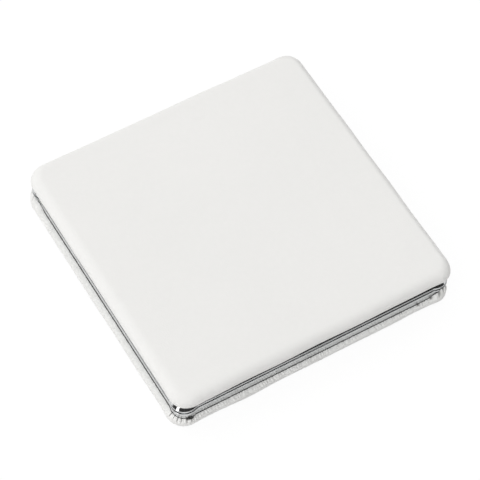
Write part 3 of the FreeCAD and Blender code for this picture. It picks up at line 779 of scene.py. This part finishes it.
def softbox(name, azimuth, elevation, distance, size, watts):
    """A rectangular lamp, in metres, that faces the object."""
    lamp = bpy.data.lights.new(name, "AREA")
    lamp.shape = "RECTANGLE"
    lamp.size, lamp.size_y = size
    lamp.energy = watts
    obj = bpy.data.objects.new(name, lamp)
    obj.location = toward(azimuth, elevation) * distance
    obj.rotation_euler = toward(azimuth, elevation).to_track_quat("Z", "Y").to_euler()
    bpy.context.scene.collection.objects.link(obj)
    return obj


# The key stands at the back and shows in no reflection, so that the mirrors stay grey
key_lamp = softbox("key_softbox", azimuth=-165, elevation=58, distance=0.36, size=(0.45, 0.4), watts=0.24)
key_lamp.visible_glossy = False
softbox("front_softbox", azimuth=-5, elevation=62, distance=2.0, size=(1.4, 1.0), watts=4.2)
softbox("low_fill", azimuth=-10, elevation=25, distance=0.9, size=(0.7, 0.26), watts=0.56)
softbox("side_strip", azimuth=-71, elevation=18, distance=0.9, size=(0.22, 0.36), watts=1.0)


class Room:
    """The world's nodes: values worked out from the direction a ray leaves in."""

    def __init__(self, name):
        self.world = bpy.data.worlds.new(name)
        self.world.use_nodes = True
        self.tree = self.world.node_tree
        self.background = self.tree.nodes["Background"]
        self.direction = self.tree.nodes.new("ShaderNodeTexCoord").outputs["Generated"]

    def along(self, direction):
        """How far a ray goes in a direction."""
        node = self.tree.nodes.new("ShaderNodeVectorMath")
        node.operation = "DOT_PRODUCT"
        node.inputs[1].default_value = direction
        self.tree.links.new(self.direction, node.inputs[0])
        return node.outputs["Value"]

    def combine(self, operation, first, second):
        node = self.tree.nodes.new("ShaderNodeMath")
        node.operation = operation
        self.tree.links.new(first, node.inputs[0])
        if isinstance(second, float):
            node.inputs[1].default_value = second
        else:
            self.tree.links.new(second, node.inputs[1])
        return node.outputs[0]

    def step(self, value, low, high):
        """0 below low, 1 above high and a soft step between."""
        node = self.tree.nodes.new("ShaderNodeMapRange")
        node.interpolation_type = "SMOOTHSTEP"
        node.inputs["From Min"].default_value = low
        node.inputs["From Max"].default_value = high
        self.tree.links.new(value, node.inputs["Value"])
        return node.outputs["Result"]

    def light(self, share, dark, bright, strength):
        """Lights the room from dark to bright by a share."""
        node = self.tree.nodes.new("ShaderNodeMix")
        node.data_type = "RGBA"
        node.inputs[MIX_FIRST].default_value = (*dark, 1.0)
        node.inputs[MIX_SECOND].default_value = (*bright, 1.0)
        self.tree.links.new(share, node.inputs["Factor"])
        self.tree.links.new(node.outputs[MIX_RESULT], self.background.inputs["Color"])
        self.background.inputs["Strength"].default_value = strength


# Room: an even light tent overhead and behind, over a dark band near the floor, highest at the front right
BAND_HEIGHT = 0.385
BAND_PEAK = toward(45, 0) * 1.4
BAND_EDGE = (-0.115, 0.06)
BACK_EDGE = (0.55, 0.85)
room = Room("studio")
bpy.context.scene.world = room.world
band = room.combine("MAXIMUM", room.along(BAND_PEAK), BAND_HEIGHT)
above_band = room.combine("SUBTRACT", room.along((0.0, 0.0, 1.0)), band)
overhead = room.step(above_band, *BAND_EDGE)
behind = room.step(room.along(toward(-160, 0)), *BACK_EDGE)
room.light(room.combine("MAXIMUM", overhead, behind), dark=(0.045, 0.045, 0.045), bright=(0.92, 0.92, 0.91),
           strength=1.025)

# Camera fitted to the pad edges and corners in the photograph
FOCAL_PIXELS = 2504.05
FRAME_PIXELS = 480
SENSOR = 36.0
AZIMUTH, ELEVATION, ROLL = -32.001, 56.759, 2.177
DISTANCE = 521.228 * MM
AIM = Vector((1.349 * MM, 1.146 * MM, 0.0))
NEAREST = 0.01
camera_data = bpy.data.cameras.new("camera")
camera_data.sensor_width = SENSOR
camera_data.lens = FOCAL_PIXELS * SENSOR / FRAME_PIXELS
camera_data.clip_start = NEAREST
camera = bpy.data.objects.new("camera", camera_data)
back = toward(AZIMUTH, ELEVATION)
right = Vector((math.cos(math.radians(AZIMUTH)), math.sin(math.radians(AZIMUTH)), 0.0))
above = back.cross(right)
roll = math.radians(ROLL)
tilted_right = math.cos(roll) * right + math.sin(roll) * above
tilted_up = math.cos(roll) * above - math.sin(roll) * right
turn = Matrix((tilted_right, tilted_up, back)).transposed().to_4x4()
camera.matrix_world = Matrix.Translation(AIM + back * DISTANCE) @ turn
bpy.context.scene.collection.objects.link(camera)
bpy.context.scene.camera = camera
bpy.context.scene.view_settings.view_transform = "Standard"
